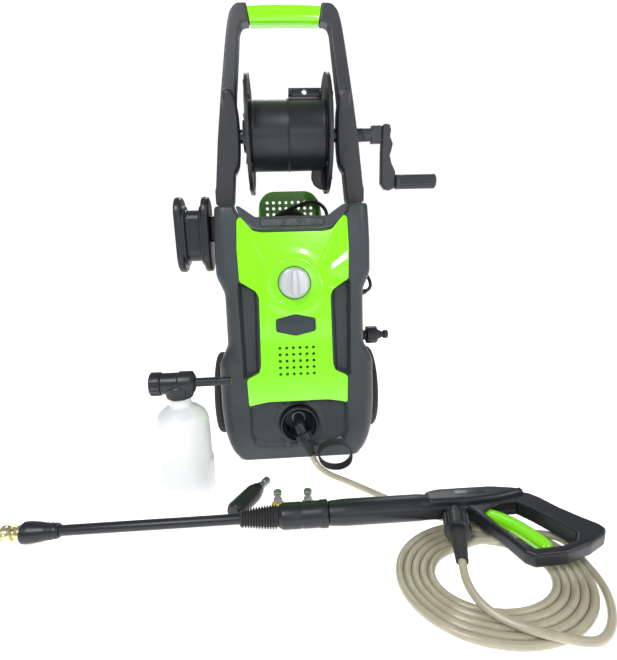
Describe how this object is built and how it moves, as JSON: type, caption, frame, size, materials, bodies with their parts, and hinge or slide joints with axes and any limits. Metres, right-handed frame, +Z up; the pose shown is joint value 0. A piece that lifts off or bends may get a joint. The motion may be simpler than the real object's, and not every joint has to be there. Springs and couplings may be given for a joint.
{
  "type": "electric pressure washer",
  "caption": "Upright electric pressure washer on two wheels with a hose reel, hose, spray gun and lance, foam bottle and spare nozzles.",
  "frame": {"origin": "on the floor, on the flat underside of the machine's base pan, midway between its sides", "axes": "+Z up, -Y out of the green front panel towards the spray gun, +X towards the reel's crank"},
  "size_m": [0.9025, 0.719, 0.884],
  "materials": {
    "dark_shell": "satin moulded, fine grain",
    "green_gloss": "high gloss moulded",
    "black_plastic": "satin moulded",
    "black_rubber": "matt",
    "tyre_black": "matt, ribbed",
    "badge_grey": "gloss",
    "label_clear": "clear gloss over grey",
    "knob_silver": "silver paint",
    "steel": "turned",
    "cast_alloy": "cast",
    "brass": "turned",
    "bottle_white": "translucent milky",
    "capacitor_white": "gloss",
    "nozzle_yellow": "gloss",
    "nozzle_green": "gloss",
    "hose_clear": "braided, smoky clear",
    "strap_fabric": "woven"
  },
  "bodies": {
    "machine": {"base_pan": "dark_shell", "front_shell": "dark_shell", "rear_shell": "dark_shell", "green_panel": "green_gloss", "badge_plate": "badge_grey", "top_bridge": "dark_shell", "label_strip": "label_clear", "wheel_axle": "steel", "cord_basket": "green_gloss", "cord_wrap": "black_plastic", "handle_leg_left": "dark_shell", "handle_leg_right": "dark_shell", "handle_grip": "green_gloss", "outlet_cup": "black_plastic", "outlet_fitting": "black_plastic", "outlet_relief": "black_rubber", "inlet_coupler": "black_plastic", "cord_gland": "black_plastic", "motor_case": "cast_alloy", "pump_body": "cast_alloy", "inlet_pipe": "black_plastic", "switch_box": "black_plastic", "capacitor": "capacitor_white", "gun_body": "black_plastic", "gun_relief": "black_rubber", "lance_fore_tube": "black_plastic", "lance_bellows": "black_rubber", "lance_tube": "black_plastic", "lance_coupling": "black_plastic", "quick_connect": "brass", "hose_lead": "hose_clear", "hose_coil": "hose_clear", "hose_tail": "hose_clear", "hose_strap": "strap_fabric", "cord_coil": "black_rubber", "cord_lead": "black_rubber", "cord_plug": "black_rubber"},
    "wheel_left": {"tyre_left": "tyre_black", "wheel_hub_left": "dark_shell"},
    "wheel_right": {"tyre_right": "tyre_black", "wheel_hub_right": "dark_shell"},
    "reel": {"reel_drum": "black_plastic", "reel_flange_left": "black_plastic", "reel_flange_right": "black_plastic", "hose_clip": "black_plastic", "crank_hub": "dark_shell", "crank_arm": "dark_shell"},
    "crank_handle": {"crank_grip": "dark_shell"},
    "power_knob": {"power_knob": "knob_silver"},
    "motor_rotor": {"motor_rotor": "steel"},
    "outlet_nut": {"outlet_nut": "black_plastic"},
    "gun_nut": {"gun_nut": "black_plastic"},
    "gun_trigger": {"gun_trigger": "green_gloss"},
    "quick_sleeve": {"quick_sleeve": "brass"},
    "foam_bottle": {"foam_bottle": "bottle_white"},
    "foam_head": {"foam_head": "black_plastic"},
    "foam_dial": {"foam_dial": "black_plastic"},
    "turbo_nozzle": {"turbo_nozzle": "black_plastic"},
    "nozzle_yellow": {"nozzle_yellow": "nozzle_yellow"},
    "nozzle_green": {"nozzle_green": "nozzle_green"}
  },
  "joints": [
    {"name": "wheel_left_spin", "type": "hinge", "parent": "machine", "child": "wheel_left", "pos_m": [-0.161, 0.04, 0.094], "axis": [1, 0, 0], "continuous": true},
    {"name": "wheel_right_spin", "type": "hinge", "parent": "machine", "child": "wheel_right", "pos_m": [0.161, 0.04, 0.094], "axis": [1, 0, 0], "continuous": true},
    {"name": "reel_spin", "type": "hinge", "parent": "machine", "child": "reel", "pos_m": [0, 0.005, 0.648], "axis": [1, 0, 0], "continuous": true},
    {"name": "crank_grip_spin", "type": "hinge", "parent": "reel", "child": "crank_handle", "pos_m": [0.262, 0.005, 0.556], "axis": [1, 0, 0], "continuous": true},
    {"name": "power_knob_turn", "type": "hinge", "parent": "machine", "child": "power_knob", "pos_m": [0, -0.0963, 0.366], "axis": [0, 0.989, -0.1478], "range_deg": [0, 90]},
    {"name": "motor_rotor_spin", "type": "hinge", "parent": "machine", "child": "motor_rotor", "pos_m": [0, -0.014, 0.225], "axis": [0, 0, 1], "continuous": true},
    {"name": "outlet_nut_spin", "type": "hinge", "parent": "machine", "child": "outlet_nut", "pos_m": [0.00864, -0.14408, 0.06001], "axis": [0.36, -0.42, -0.833], "continuous": true},
    {"name": "gun_nut_spin", "type": "hinge", "parent": "machine", "child": "gun_nut", "pos_m": [0.22263, -0.40017, 0.03668], "axis": [-0.2774, -0.9607, -0.007], "continuous": true},
    {"name": "trigger_squeeze", "type": "hinge", "parent": "machine", "child": "gun_trigger", "pos_m": [0.2748, -0.3855, 0.03816], "axis": [-0.0288, 0.0011, 0.9996], "range_deg": [0, 13], "stiffness_Nm_per_rad": 1.2, "springref_deg": -5.73},
    {"name": "quick_sleeve_slide", "type": "slide", "parent": "machine", "child": "quick_sleeve", "axis": [0.9989, -0.0366, 0.0288], "range_m": [0, 0.006], "stiffness_N_per_m": 600, "springref_m": -0.002},
    {"name": "foam_bottle_lift", "type": "slide", "parent": "machine", "child": "foam_bottle", "axis": [0, 0, 1], "range_m": [0, 0.15]},
    {"name": "foam_head_turn", "type": "hinge", "parent": "foam_bottle", "child": "foam_head", "pos_m": [-0.213, -0.207, 0.211], "axis": [0, 0, 1], "continuous": true},
    {"name": "foam_dial_turn", "type": "hinge", "parent": "foam_head", "child": "foam_dial", "pos_m": [-0.252, -0.207, 0.211], "axis": [-1, 0, 0], "range_deg": [-90, 90]},
    {"name": "turbo_nozzle_lift", "type": "slide", "parent": "machine", "child": "turbo_nozzle", "axis": [0, 0, 1], "range_m": [0, 0.12]},
    {"name": "nozzle_yellow_lift", "type": "slide", "parent": "machine", "child": "nozzle_yellow", "axis": [0, 0, 1], "range_m": [0, 0.12]},
    {"name": "nozzle_green_lift", "type": "slide", "parent": "machine", "child": "nozzle_green", "axis": [0, 0, 1], "range_m": [0, 0.12]}
  ]
}
